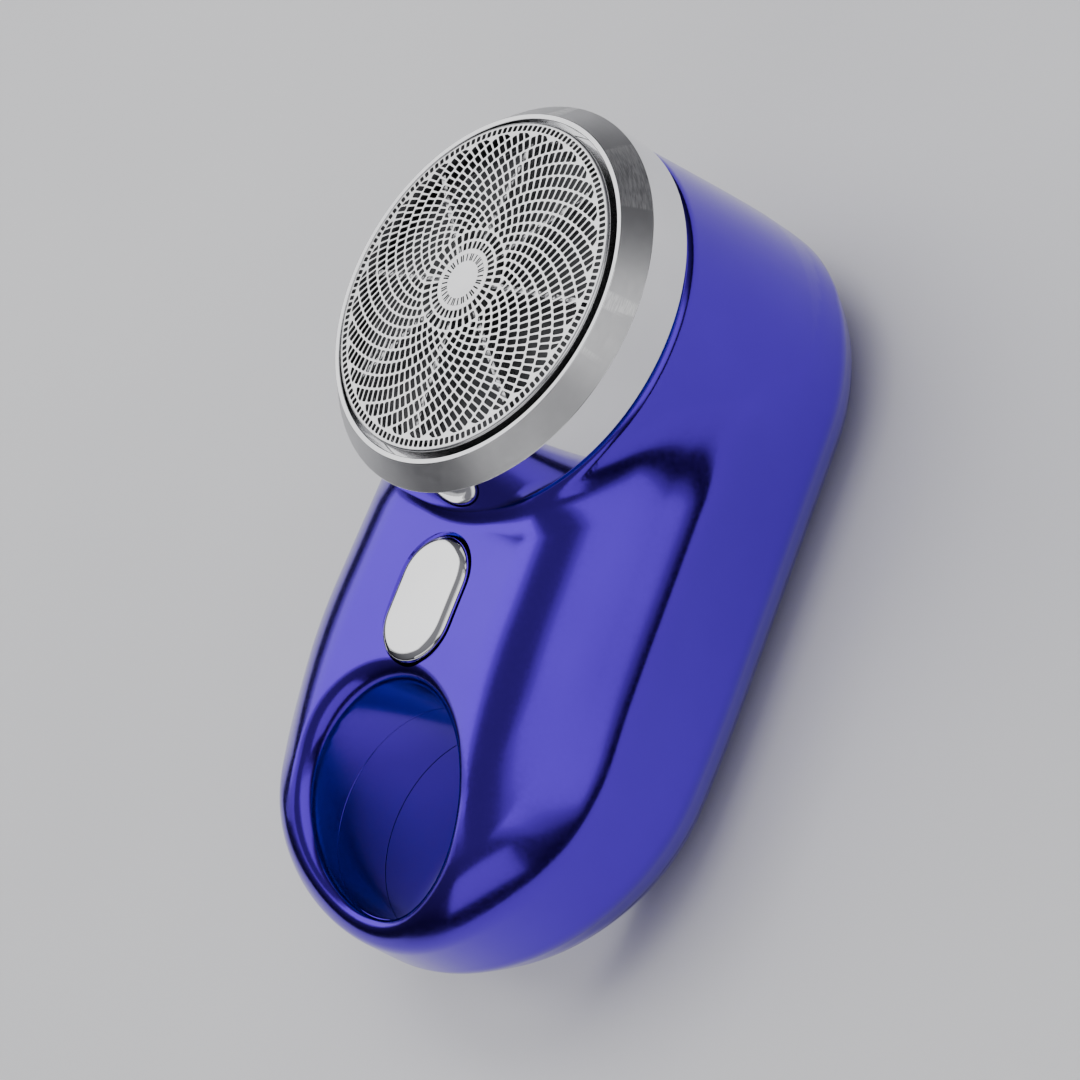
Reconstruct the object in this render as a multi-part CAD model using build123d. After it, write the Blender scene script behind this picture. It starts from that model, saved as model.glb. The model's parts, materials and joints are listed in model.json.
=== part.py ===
from build123d import *
import math
import os

# Palm-sized rotary foil shaver, lying on its back.
# +Z points out of the shaving head, +Y runs from the finger hole to the head, +X is sideways.
# The origin is on the back face, at the middle of the length and the width. Millimetres.

# ---------------------------------------------------------------- driving dimensions
LENGTH = 79.0              # whole shaver along Y
HEAD_R = 20.4              # body outline round the head
TAIL_R = 21.8              # body outline at the finger-hole end
HEAD_Y = LENGTH / 2 - HEAD_R
TAIL_Y = TAIL_R - LENGTH / 2
WALL = 2.0                 # moulded shell wall
BACK_ROUND = 9.5           # rounding between the back and the sides
SPLIT = 4.0                # the joint between the two shells lies this far inside the back
DRUM_Z = 11.8              # the drum narrows from here
SHOULDER_Z = 16.0          # the sides are upright to here
SHOULDER_TOP_Z = 20.2
HEAD_BASE_Z = 29.0         # rear plane of the chrome head ring
DRUM_TOP_R = 19.3          # the drum narrows towards the head ring

FINGER_Y = -26.5           # finger hole axis
FINGER_R = 10.4            # finger hole bore
SPINE_HALF_W = 16.2        # raised spine between the drum and the finger hole, at its chamfer
SPINE_EDGE_Z = 25.7
LINER_THICK = 1.0
LINER_Z = 11.8             # liner band in the finger hole runs from here
LINER_TOP_Z = 18.5         # to here

FACET_Z = 27.6             # flat front facet that carries the button
FACET_BEND_Y = -7.5        # below here the facet curves down towards the hole
FACET_BEND_R = 61.0
BACK_BEND_Y = -6.0         # below here the back curves up towards the hole end
BACK_BEND_R = 156.0

RING_R = 19.5              # chrome head ring, outside
RING_LIP_R = 17.6
RING_BORE_R = 16.4
RING_BAND_Z = HEAD_BASE_Z + 4.8
RING_LIP_Z = HEAD_BASE_Z + 7.15
FOIL_R = 16.6
FOIL_THICK = 0.4
FOIL_EDGE_Z = HEAD_BASE_Z + 7.6
FOIL_RISE = 1.3            # crown of the foil above its edge
FOIL_FOOT_Z = HEAD_BASE_Z + 3.4
LIFT_CLEAR = 0.15          # play between the seat spigot and the ring bore

MOTOR_R = 8.0
MOTOR_Z = 4.4              # back of the motor can
MOTOR_TOP_Z = 17.5
BRACKET_THICK = 1.6
SHAFT_R = 1.0
CUTTER_R = 14.7
CUTTER_Z = HEAD_BASE_Z + 3.9
CUTTER_FLOAT = 0.5         # how far the cutter sinks against its spring
BLADES = 8

BUTTON_Y = -8.6
BUTTON_HALF_W = 4.25
BUTTON_HALF_L = 6.25
BUTTON_TOP_Z = 28.3
BUTTON_FOOT_Z = 25.7       # underside of the cap where it passes over the finger wall
BUTTON_TRAVEL = 0.6
BUTTON_GAP = 0.25

BOARD_Z = 18.0             # back of the main board
BOARD_TOP_Z = 19.2
SWITCH_TOP_Z = 21.0
PLUNGER_TOP_Z = 21.95
CHARGE_BOARD_Z = 12.0
PORT_Z = 14.7              # charging socket centre line
LUG_Z = 8.5                # the front shell's screw lugs stand on the back shell's posts here
LUG_TOP_Z = 11.0

BRACKET_ANGLES = (30, 150, 352)
SHELL_ANGLES = (-33.5, 90, 213.5)
SCREW_PCD_R = 15.6
BOARD_POSTS = ((-9.4, -11.2), (9.4, -11.2))


# ---------------------------------------------------------------- shared shapes
def outline(z, head_r, tail_r, head_y=HEAD_Y, tail_y=TAIL_Y):
    """Two circles on the Y axis joined by their outer tangents, as a face at height z."""
    rise = (tail_r - head_r) / (head_y - tail_y)
    run = math.sqrt(1 - rise * rise)
    head_x, head_ty = head_r * run, head_y + head_r * rise
    tail_x, tail_ty = tail_r * run, tail_y + tail_r * rise
    head_arc = ThreePointArc((head_x, head_ty, z), (0, head_y + head_r, z), (-head_x, head_ty, z))
    tail_arc = ThreePointArc((-tail_x, tail_ty, z), (0, tail_y - tail_r, z), (tail_x, tail_ty, z))
    left = Line((-head_x, head_ty, z), (-tail_x, tail_ty, z))
    right = Line((tail_x, tail_ty, z), (head_x, head_ty, z))
    return Face(Wire([head_arc, left, tail_arc, right]))


def prism(z0, z1, *shape):
    """Upright solid on an outline."""
    return extrude(outline(z0, *shape), z1 - z0)


def rod(radius, z0, z1, x=0.0, y=HEAD_Y):
    """Upright cylinder, on the head axis unless told otherwise."""
    return Pos(x, y, (z0 + z1) / 2) * Cylinder(radius, z1 - z0)


def tube(outer_r, inner_r, z0, z1, x=0.0, y=HEAD_Y):
    """Upright ring."""
    return rod(outer_r, z0, z1, x, y) - rod(inner_r, z0, z1, x, y)


def block(x0, x1, y0, y1, z0, z1):
    """Box from its low and high corners."""
    return Pos((x0 + x1) / 2, (y0 + y1) / 2, (z0 + z1) / 2) * Box(x1 - x0, y1 - y0, z1 - z0)


def stadium(half_w, half_l, z0, z1):
    """Upright slug with round ends at the button, long side along Y."""
    return prism(z0, z1, half_w, half_w, BUTTON_Y + half_l - half_w, BUTTON_Y - half_l + half_w)


def spun(points, axis_y=HEAD_Y):
    """Solid of revolution about an upright axis, from its (radius, z) corners."""
    profile = Plane.XZ * make_face(Polyline(*points, close=True))
    return Pos(0, axis_y, 0) * revolve(profile, Axis.Z)


def on_circle(angle, radius=SCREW_PCD_R):
    """X and Y of a point round the head axis."""
    turn = math.radians(angle)
    return radius * math.cos(turn), HEAD_Y + radius * math.sin(turn)


def bend_point(y, start_y, radius):
    """How far an arc that starts level at start_y has moved when it reaches y."""
    reach = start_y - y
    return radius - math.sqrt(radius ** 2 - reach ** 2)


def side_slab(start_y, z, radius, side, far_z):
    """Solid between far_z and a surface that is level at z, then bends to that side of it below start_y."""
    end_y = start_y - 42
    mid_y = start_y - 21
    mid_z = z + side * bend_point(mid_y, start_y, radius)
    end_z = z + side * bend_point(end_y, start_y, radius)
    bend = ThreePointArc((start_y, z), (mid_y, mid_z), (end_y, end_z))
    rest = Polyline((end_y, end_z), (end_y, far_z), (LENGTH, far_z), (LENGTH, z), (start_y, z))
    return extrude(Plane.YZ * make_face([bend, rest]), LENGTH / 2, both=True)


def above_facet(inset=0.0):
    """Everything in front of the facet."""
    return side_slab(FACET_BEND_Y, FACET_Z - inset, FACET_BEND_R, -1, 70)


def below_back(inset=0.0):
    """Everything behind the back."""
    return side_slab(BACK_BEND_Y, inset, BACK_BEND_R, 1, -30)


def screw(x, y, seat_z, length, shank_r, head_r, head_h, up=1):
    """Pan-head screw whose head stands on seat_z and whose shank goes the other way."""
    head = rod(head_r, min(seat_z, seat_z + up * head_h), max(seat_z, seat_z + up * head_h), x, y)
    shank = rod(shank_r, min(seat_z, seat_z - up * length), max(seat_z, seat_z - up * length), x, y)
    return head + shank


def group(solids):
    """Several separate solids as one node."""
    return Compound(children=list(solids))


# ---------------------------------------------------------------- casing
def body_form(inset):
    """The whole body as one solid, with every wall moved in by inset."""
    tray = prism(inset, SHOULDER_Z, HEAD_R - inset, TAIL_R - inset)
    tray = fillet(tray.edges().group_by(Axis.Z)[0], BACK_ROUND - inset)
    shoulder = loft([outline(SHOULDER_Z, HEAD_R - inset, TAIL_R - inset),
                     outline(SHOULDER_TOP_Z - 1.4 - inset / 2, HEAD_R - 1.6 - inset, TAIL_R - 1.6 - inset),
                     outline(SHOULDER_TOP_Z - inset, HEAD_R - 4.0 - inset, TAIL_R - 4.0 - inset)], ruled=True)
    spine = loft([outline(SHOULDER_Z - inset, 19.9 - inset, 20.9 - inset, HEAD_Y - 6, FINGER_Y + 6),
                  outline(SPINE_EDGE_Z - inset / 2, SPINE_HALF_W - 0.4 - inset, SPINE_HALF_W + 0.6 - inset,
                          HEAD_Y - 6, FINGER_Y + 1.6),
                  outline(FACET_Z + 0.6, SPINE_HALF_W - 4.4 - inset, SPINE_HALF_W - 3.2 - inset,
                          HEAD_Y - 6, FINGER_Y + 0.5)], ruled=True)
    spine &= prism(0, FACET_Z + 1, HEAD_R - inset, TAIL_R - inset)
    ridge = spine - above_facet(inset)
    drum_top_z = HEAD_BASE_Z - 0.5 - inset
    drum = spun([(0, DRUM_Z), (HEAD_R - inset, DRUM_Z),
                 (DRUM_TOP_R + 0.3 - inset, drum_top_z - 0.5), (DRUM_TOP_R - inset, drum_top_z), (0, drum_top_z)])
    lower = (tray + shoulder) - side_slab(FACET_BEND_Y, SHOULDER_TOP_Z - inset, FACET_BEND_R, -1, 70)
    return lower + ridge + drum - below_back(inset)


def gasket_ring():
    """Square section that follows the joint between the shells and stops at the finger hole."""
    ring = prism(0, 20, HEAD_R - 2.5, TAIL_R - 2.5) - prism(0, 20, HEAD_R - 3.2, TAIL_R - 3.2)
    ring -= rod(FINGER_R + WALL, 0, 20, 0, FINGER_Y)
    return ring & (below_back(SPLIT + 0.35) - below_back(SPLIT - 0.35))


def front_shell():
    """Drum, spine, flanks and sides, with the bosses that hang inside them."""
    solid = body_form(0)
    shell = solid - body_form(WALL)
    posts = [rod(2.7, 12.4, MOTOR_TOP_Z, *on_circle(angle, 16.0)) for angle in BRACKET_ANGLES]
    posts += [rod(2.6, LUG_Z, LUG_TOP_Z, *on_circle(angle, 16.0)) for angle in SHELL_ANGLES]
    posts += [rod(2.0, BOARD_TOP_Z, FACET_Z - 1, x, y) for x, y in BOARD_POSTS]
    posts.append(rod(FINGER_R + WALL, LINER_TOP_Z, FACET_Z, 0, FINGER_Y))
    # ribs tie the two side screw lugs to the flank
    rib_x, rib_y = on_circle(SHELL_ANGLES[0])
    for side in (-1, 1):
        posts.append(block(min(side * rib_x, side * HEAD_R), max(side * rib_x, side * HEAD_R),
                           rib_y - 1.2, rib_y + 1.2, LUG_Z, LUG_TOP_Z))
    for post in posts:
        shell += post & solid
    shell -= below_back(SPLIT)
    # one bore for the finger, with a wider step for the liner band
    shell -= rod(FINGER_R, 0, 60, 0, FINGER_Y)
    shell -= rod(FINGER_R + LINER_THICK, LINER_Z, LINER_TOP_Z, 0, FINGER_Y)
    # drum mouth, button window, charging port and screw holes
    shell -= rod(HEAD_R - 2 * WALL + 0.4, HEAD_BASE_Z - 4, 60)
    window_z = BUTTON_FOOT_Z - BUTTON_TRAVEL - 0.2
    shell -= stadium(BUTTON_HALF_W + BUTTON_GAP, BUTTON_HALF_L + BUTTON_GAP, window_z, 60)
    port = Pos(-HEAD_R, HEAD_Y, PORT_Z) * Rot(0, 90, 0) * Rot(0, 0, 90) * SlotOverall(9.6, 3.8)
    shell -= extrude(port, 4, both=True)
    for angle in BRACKET_ANGLES:
        shell -= rod(0.8, MOTOR_TOP_Z - 4, MOTOR_TOP_Z, *on_circle(angle))
    for angle in SHELL_ANGLES:
        shell -= rod(1.1, LUG_Z, LUG_TOP_Z, *on_circle(angle))
    for x, y in BOARD_POSTS:
        shell -= rod(0.8, BOARD_TOP_Z, BOARD_TOP_Z + 3.5, x, y)
    return shell - gasket_ring()


def back_shell():
    """Shallow cover that the shaver rests on, with screw posts and the tube of the finger hole."""
    inner = body_form(WALL)
    shell = (body_form(0) - inner) & below_back(SPLIT)
    shell += rod(FINGER_R + WALL, 0, LINER_Z, 0, FINGER_Y) & inner
    for angle in SHELL_ANGLES:
        shell += rod(2.6, 0, LUG_Z, *on_circle(angle, 15.6)) & inner
    shell -= rod(FINGER_R, -10, 60, 0, FINGER_Y)
    flare_z = 3.4
    shell -= spun([(0, -2), (FINGER_R + 2.6, -2), (FINGER_R + 1.0, 1.9), (FINGER_R, flare_z), (0, flare_z)],
                  FINGER_Y)
    for angle in SHELL_ANGLES:
        shell -= rod(0.8, LUG_Z - 6, LUG_Z, *on_circle(angle))
    return shell - gasket_ring()


def finger_hole_liner():
    """Band between the two shells inside the finger hole, flush with both."""
    return tube(FINGER_R + LINER_THICK, FINGER_R, LINER_Z, LINER_TOP_Z, 0, FINGER_Y)


def shell_screws():
    """Screws that hold the shells together, reached through the drum mouth."""
    return group(screw(*on_circle(angle), LUG_TOP_Z, 6.2, 0.8, 1.8, 1.3) for angle in SHELL_ANGLES)


# ---------------------------------------------------------------- head
def head_seat():
    """Cup that closes the drum, catches the hair and carries the head ring on its spigot."""
    base_z = HEAD_BASE_Z - 2.6
    rim_z = HEAD_BASE_Z - 0.7
    spigot_r = RING_BORE_R - LIFT_CLEAR
    cup = spun([(0, base_z), (16.8, base_z), (16.8, rim_z), (spigot_r, rim_z),
                (spigot_r, HEAD_BASE_Z + 2.0), (14.9, HEAD_BASE_Z + 2.0), (14.9, base_z + 1.2), (0, base_z + 1.2)])
    return cup - rod(5.0, base_z - 1, base_z + 3)


def head_gasket():
    """Soft flat ring in the gap behind the head ring."""
    return tube(18.6, 16.8, HEAD_BASE_Z - 0.5, HEAD_BASE_Z - 0.15)


def shaft_seal():
    """Rubber lip ring where the drive passes through the seat."""
    base_z = HEAD_BASE_Z - 2.6
    return tube(5.0, 2.7, base_z, base_z + 1.2)


def head_ring():
    """Polished band with a satin bevel in front; it holds the foil."""
    return spun([(RING_BORE_R, HEAD_BASE_Z), (RING_R - 0.25, HEAD_BASE_Z), (RING_R, HEAD_BASE_Z + 0.25),
                 (RING_R, RING_BAND_Z), (RING_LIP_R, RING_LIP_Z), (17.1, RING_LIP_Z),
                 (17.1, FOIL_FOOT_Z), (RING_BORE_R, FOIL_FOOT_Z)])


def crown_z(radius):
    """Height of the foil's outer face at a radius."""
    return FOIL_EDGE_Z + FOIL_RISE * (1 - (radius / FOIL_R) ** 2)


def crown_arc(edge_r, drop):
    """Arc of the foil's crown, from the axis out to edge_r, moved back by drop."""
    mid_r = edge_r / 2
    return ThreePointArc((0, crown_z(0) - drop), (mid_r, crown_z(mid_r) - drop), (edge_r, crown_z(edge_r) - drop))


def shaving_foil():
    """Thin domed cup with a foot that sits on a step inside the head ring."""
    inner_r = FOIL_R - FOIL_THICK
    edge_z = crown_z(FOIL_R - 0.5)
    outer = crown_arc(FOIL_R - 0.5, 0)
    inner = crown_arc(inner_r - 0.2, FOIL_THICK)
    inner_z = crown_z(inner_r - 0.2) - FOIL_THICK
    foot_top_z = FOIL_FOOT_Z + 0.4
    side = Polyline((FOIL_R - 0.5, edge_z), (FOIL_R, edge_z - 0.5), (FOIL_R, foot_top_z), (17.05, foot_top_z),
                    (17.05, FOIL_FOOT_Z), (inner_r, FOIL_FOOT_Z), (inner_r, inner_z - 0.3), (inner_r - 0.2, inner_z))
    axis = Line((0, crown_z(0)), (0, crown_z(0) - FOIL_THICK))
    profile = Plane.XZ * make_face([outer, side, inner, axis])
    return Pos(0, HEAD_Y, 0) * revolve(profile, Axis.Z)


def foil_clamp():
    """Snap ring that presses the foil's foot against the head ring."""
    return tube(RING_BORE_R, 15.2, HEAD_BASE_Z + 2.3, FOIL_FOOT_Z)


# ---------------------------------------------------------------- cutter and drive
def hexagon(flats, z0, z1):
    """Upright hexagonal prism on the head axis."""
    return Pos(0, HEAD_Y, z0) * extrude(RegularPolygon(flats / 2, 6, major_radius=False), z1 - z0)


def cutter_hub():
    """Disc that carries the blades and slides on the driver's hexagon."""
    disc = spun([(0, CUTTER_Z), (CUTTER_R, CUTTER_Z), (CUTTER_R, CUTTER_Z + 0.9),
                 (3.2, CUTTER_Z + 0.9), (3.0, CUTTER_Z + 3.0), (0, CUTTER_Z + 3.0)])
    return disc - hexagon(3.8, CUTTER_Z - 1, CUTTER_Z + 2.4)


def cutter_blades():
    """Radial blades whose edges follow the inside of the foil."""
    gap = 0.15
    inner_r, outer_r, foot_z = 3.4, 14.5, CUTTER_Z + 0.9
    blades = []
    top = [(r, crown_z(r) - FOIL_THICK - gap) for r in (inner_r, (inner_r + outer_r) / 2, outer_r)]
    edge = ThreePointArc(*top)
    foot = Polyline(top[2], (outer_r, foot_z), (inner_r, foot_z), top[0])
    plate = extrude(Plane.XZ * make_face([edge, foot]), 0.25, both=True)
    for turn in range(BLADES):
        blades.append(Pos(0, HEAD_Y, 0) * Rot(0, 0, turn * 360 / BLADES) * plate)
    return group(blades)


def cutter_spring():
    """Light coil that pushes the cutter against the foil."""
    wire_r, coil_r = 0.25, 2.75
    height = 2.2
    path = Helix(pitch=height / 3, height=height, radius=coil_r)
    section = Plane(path @ 0, z_dir=path % 0) * Circle(wire_r)
    return Pos(0, HEAD_Y, HEAD_BASE_Z + 1.3) * sweep(section, path)


def drive_coupling():
    """Plastic driver on the motor shaft, ending in the hexagon that turns the cutter."""
    shoulder_z = HEAD_BASE_Z + 1.0
    body = rod(4.0, 21.4, 24.4) + rod(2.6, 24.4, shoulder_z)
    body += rod(3.3, HEAD_BASE_Z - 1.0, shoulder_z)
    return body + hexagon(3.6, shoulder_z, CUTTER_Z + 1.6) - rod(SHAFT_R, 21, 25.0)


def motor_shaft():
    """Steel shaft with the rotor core on it."""
    return rod(SHAFT_R, MOTOR_Z + 0.6, 25.0) + rod(5.2, MOTOR_Z + 2.4, MOTOR_TOP_Z - 3.0)


def motor_can():
    """Drawn steel can, open at the back."""
    hole = rod(SHAFT_R + 0.05, 0, 30)
    can = rod(MOTOR_R, MOTOR_Z, MOTOR_TOP_Z) + rod(3.0, MOTOR_TOP_Z, MOTOR_TOP_Z + 1.6)
    return can - rod(MOTOR_R - 0.6, 0, MOTOR_TOP_Z - 0.8) - hole


def motor_magnets():
    """Two curved magnets inside the can."""
    ring = tube(MOTOR_R - 0.6, 5.6, MOTOR_Z + 1.6, MOTOR_TOP_Z - 2.4)
    slot = block(-2.0, 2.0, 0, 2 * HEAD_Y, 0, 30)
    return group((ring - slot).solids())


def motor_cap():
    """Plastic end cap with the rear shaft bearing."""
    cap = rod(MOTOR_R, MOTOR_Z - 1.2, MOTOR_Z) + rod(MOTOR_R - 0.6, MOTOR_Z, MOTOR_Z + 1.2)
    return cap - rod(SHAFT_R + 0.05, MOTOR_Z + 0.4, 30)


def motor_terminals():
    """Two solder tabs on the side of the end cap."""
    low, high = MOTOR_Z - 0.9, MOTOR_Z - 0.3
    reach = MOTOR_R + 2.0
    tabs = block(-3.0, -1.4, HEAD_Y - reach, HEAD_Y, low, high) + block(1.4, 3.0, HEAD_Y - reach, HEAD_Y, low, high)
    return group((tabs - rod(MOTOR_R, 0, 40)).solids())


def motor_bracket():
    """Plate that spans the drum and holds the motor by its nose."""
    plate = rod(17.3, MOTOR_TOP_Z, MOTOR_TOP_Z + BRACKET_THICK) - rod(3.0, 0, 40)
    plate -= block(-20, 20, HEAD_Y - 20, HEAD_Y - 11.5, 0, 40) - block(-4, 4, HEAD_Y - 20, HEAD_Y, 0, 40)
    for angle in SHELL_ANGLES:
        plate -= rod(2.4, 0, 40, *on_circle(angle))
    for angle in BRACKET_ANGLES:
        plate -= rod(0.8, 0, 40, *on_circle(angle))
    for x in (-4.6, 4.6):
        plate -= rod(0.8, 0, 40, x)
    return plate


def bracket_screws():
    """Three screws into the shell bosses and two into the motor face."""
    top_z = MOTOR_TOP_Z + BRACKET_THICK
    screws = [screw(*on_circle(angle), top_z, 5.2, 0.8, 1.6, 1.0) for angle in BRACKET_ANGLES]
    screws += [screw(x, HEAD_Y, top_z, BRACKET_THICK, 0.8, 1.4, 0.8) for x in (-4.6, 4.6)]
    return group(screws)


# ---------------------------------------------------------------- button and electronics
def power_button():
    """Polished stadium cap with a bevelled edge, a retaining flange and a stem."""
    face = stadium(BUTTON_HALF_W, BUTTON_HALF_L, BUTTON_FOOT_Z, BUTTON_TOP_Z)
    face = chamfer(face.edges().group_by(Axis.Z)[-1], 0.45)
    flange_z = BUTTON_FOOT_Z - 1.6
    neck = block(-3.4, 3.4, BUTTON_Y - 4.6, BUTTON_Y + 4.6, flange_z, BUTTON_FOOT_Z)
    flange = block(-5.4, 5.4, BUTTON_Y - 4.9, BUTTON_Y + 4.9, flange_z, flange_z + 0.9)
    return face + neck + flange + rod(1.5, PLUNGER_TOP_Z, flange_z, 0, BUTTON_Y)


def switch_body():
    """Surface-mounted push switch on the main board."""
    box = block(-3, 3, BUTTON_Y - 3, BUTTON_Y + 3, BOARD_TOP_Z, SWITCH_TOP_Z)
    return box - rod(1.7, BOARD_TOP_Z + 0.3, 30, 0, BUTTON_Y)


def switch_plunger():
    """Moving stem of the push switch."""
    return rod(1.65, SWITCH_TOP_Z - 0.8, PLUNGER_TOP_Z, 0, BUTTON_Y)


def main_board():
    """Circuit board under the button."""
    board = block(-11.6, 11.6, -13.4, 0.6, BOARD_Z, BOARD_TOP_Z)
    for x, y in BOARD_POSTS:
        board -= rod(0.8, 0, 40, x, y)
    return board


def board_screws():
    """Screws that hang the main board from the front shell."""
    return group(screw(x, y, BOARD_Z, 4.2, 0.8, 1.5, 0.9, up=-1) for x, y in BOARD_POSTS)


def board_chips():
    """Charge controller and motor driver."""
    return group([block(5.4, 9.4, -7.6, -3.6, BOARD_TOP_Z, BOARD_TOP_Z + 0.9),
                  block(-9.0, -6.0, -5.4, -2.4, BOARD_TOP_Z, BOARD_TOP_Z + 0.8)])


def battery_cell():
    """Rechargeable pouch cell across the body, under the main board."""
    cell = block(-12.5, 12.5, -13.4, -0.6, 3.4, 14.0)
    return fillet(cell.edges().filter_by(Axis.X), 2.0)


def battery_tabs():
    """Two nickel strips on the end of the cell."""
    return group(block(12.5, 12.8, y, y + 3.0, 7.0, 12.0) for y in (-11.5, -5.5))


def battery_pad():
    """Foam between the cell and the back shell."""
    return block(-10, 10, -12.4, -1.6, 2.2, 3.4)


def charge_board():
    """Small board under the charging socket."""
    return block(-16.6, -9.4, HEAD_Y - 5.0, HEAD_Y + 4.6, CHARGE_BOARD_Z, CHARGE_BOARD_Z + 1.1)


def charging_socket():
    """Folded metal shell of the charging socket with its contact tongue."""
    turn = Rot(0, 90, 0) * Rot(0, 0, 90)
    place = Pos(-19.6, HEAD_Y, PORT_Z)
    shell = place * extrude(turn * SlotOverall(8.9, 3.2), 7.2)
    hollow = place * extrude(turn * SlotOverall(8.3, 2.6), 6.2)
    tongue = block(-18.6, -13.0, HEAD_Y - 3.2, HEAD_Y + 3.2, PORT_Z - 0.35, PORT_Z + 0.35)
    return shell - hollow + tongue


def wire(*points):
    """Insulated lead along a bent route."""
    path = FilletPolyline(*points, radius=1.2)
    return sweep(Plane(path @ 0, z_dir=path % 0) * Circle(0.45), path)


def motor_leads():
    """Leads from the motor's solder tabs up to the main board."""
    tab_z = MOTOR_Z - 0.3 + 0.45
    return group(wire((x, HEAD_Y - MOTOR_R - 1.6, tab_z), (x, 4.6 - abs(x) * 0.1, tab_z),
                      (x * 1.4, 2.6, 12.0), (x * 1.4, -0.0, BOARD_Z - 0.45), (x * 1.4, -2.4, BOARD_Z - 0.45))
                 for x in (-2.2, 2.2))


def cell_leads():
    """Leads from the cell's strips up to the main board."""
    return group(wire((13.25, y, 10.0), (13.25, y, 15.6), (10.6, y, BOARD_Z - 0.45), (7.6, y, BOARD_Z - 0.45))
                 for y in (-9.0, -4.0))


def charge_leads():
    """Leads from the charging board to the main board."""
    start_z = CHARGE_BOARD_Z + 1.1 + 0.45
    return group(wire((x, HEAD_Y - 3.6, start_z), (x, HEAD_Y - 5.2, start_z), (x, HEAD_Y - 6.8, 16.3),
                      (x, 3.6, 16.3), (x + 1.2, 0.8, BOARD_Z - 0.45), (x + 1.2, -3.0, BOARD_Z - 0.45))
                 for x in (-11.7, -10.4))


# ---------------------------------------------------------------- output
NODES = {
    "front_shell": front_shell, "back_shell": back_shell, "finger_hole_liner": finger_hole_liner,
    "shell_gasket": gasket_ring, "shell_screws": shell_screws,
    "head_seat": head_seat, "head_gasket": head_gasket, "shaft_seal": shaft_seal,
    "head_ring": head_ring, "shaving_foil": shaving_foil, "foil_clamp": foil_clamp,
    "cutter_hub": cutter_hub, "cutter_blades": cutter_blades, "cutter_spring": cutter_spring,
    "drive_coupling": drive_coupling, "motor_shaft": motor_shaft, "motor_can": motor_can,
    "motor_magnets": motor_magnets, "motor_cap": motor_cap, "motor_terminals": motor_terminals,
    "motor_bracket": motor_bracket, "bracket_screws": bracket_screws,
    "power_button": power_button, "switch_body": switch_body, "switch_plunger": switch_plunger,
    "main_board": main_board, "board_screws": board_screws, "board_chips": board_chips,
    "battery_cell": battery_cell, "battery_tabs": battery_tabs, "battery_pad": battery_pad,
    "charge_board": charge_board, "charging_socket": charging_socket,
    "motor_leads": motor_leads, "cell_leads": cell_leads, "charge_leads": charge_leads,
}

os.makedirs("parts", exist_ok=True)
for name, make in NODES.items():
    export_step(make(), f"parts/{name}.step")
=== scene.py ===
import json
import math

import bpy
import numpy as np
from mathutils import Matrix, Vector
from mathutils.geometry import delaunay_2d_cdt


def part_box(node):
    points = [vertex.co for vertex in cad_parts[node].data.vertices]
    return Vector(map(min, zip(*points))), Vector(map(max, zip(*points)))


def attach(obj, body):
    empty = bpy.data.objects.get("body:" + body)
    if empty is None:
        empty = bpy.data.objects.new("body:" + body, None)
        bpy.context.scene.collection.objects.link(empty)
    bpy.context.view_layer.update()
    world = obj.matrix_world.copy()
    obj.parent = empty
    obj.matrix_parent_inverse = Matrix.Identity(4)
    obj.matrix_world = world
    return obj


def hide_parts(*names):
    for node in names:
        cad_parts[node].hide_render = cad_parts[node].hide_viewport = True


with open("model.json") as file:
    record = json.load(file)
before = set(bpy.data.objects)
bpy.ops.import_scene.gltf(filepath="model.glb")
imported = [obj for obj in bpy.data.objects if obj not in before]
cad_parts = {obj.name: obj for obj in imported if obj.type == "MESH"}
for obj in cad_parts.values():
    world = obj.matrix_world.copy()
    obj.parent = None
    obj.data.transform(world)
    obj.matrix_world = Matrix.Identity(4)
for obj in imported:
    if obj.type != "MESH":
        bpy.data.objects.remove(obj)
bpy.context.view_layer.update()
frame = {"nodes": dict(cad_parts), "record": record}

# Shapes are worked out in millimetres and turned into metres when a mesh is made.
MM = 0.001


def box_mm(node):
    """Low and high corner of a CAD node in millimetres."""
    low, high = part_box(node)
    return np.array(low) / MM, np.array(high) / MM


# ---------------------------------------------------------------- dimensions read from the frame
ring_low, ring_high = box_mm("head_ring")
HEAD_Y = (ring_low[1] + ring_high[1]) / 2
RING_BASE_Z, RING_LIP_Z = ring_low[2], ring_high[2]
RING_R = (ring_high[0] - ring_low[0]) / 2

front_low, front_high = box_mm("front_shell")
back_low, back_high = box_mm("back_shell")
TAIL_R = (front_high[0] - front_low[0]) / 2
HEAD_R = front_high[1] - HEAD_Y
TAIL_Y = front_low[1] + TAIL_R
DRUM_TOP_Z = front_high[2]

FINGER = next(m for m in frame["record"]["mounts"] if m["name"] == "finger_hole")
FINGER_Y = FINGER["pos_m"][1] / MM
FINGER_R = FINGER["dims"]["r_mm"]
liner_low, liner_high = box_mm("finger_hole_liner")
LINER_R = (liner_high[0] - liner_low[0]) / 2

foil_low, foil_high = box_mm("shaving_foil")
FOIL_FOOT_R = (foil_high[0] - foil_low[0]) / 2
CROWN_Z = foil_high[2]

button_low, button_high = box_mm("power_button")
BUTTON_Y = (button_low[1] + button_high[1]) / 2
BUTTON_HALF_L = (button_high[1] - button_low[1]) / 2
BUTTON_TOP_Z = button_high[2]

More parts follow.
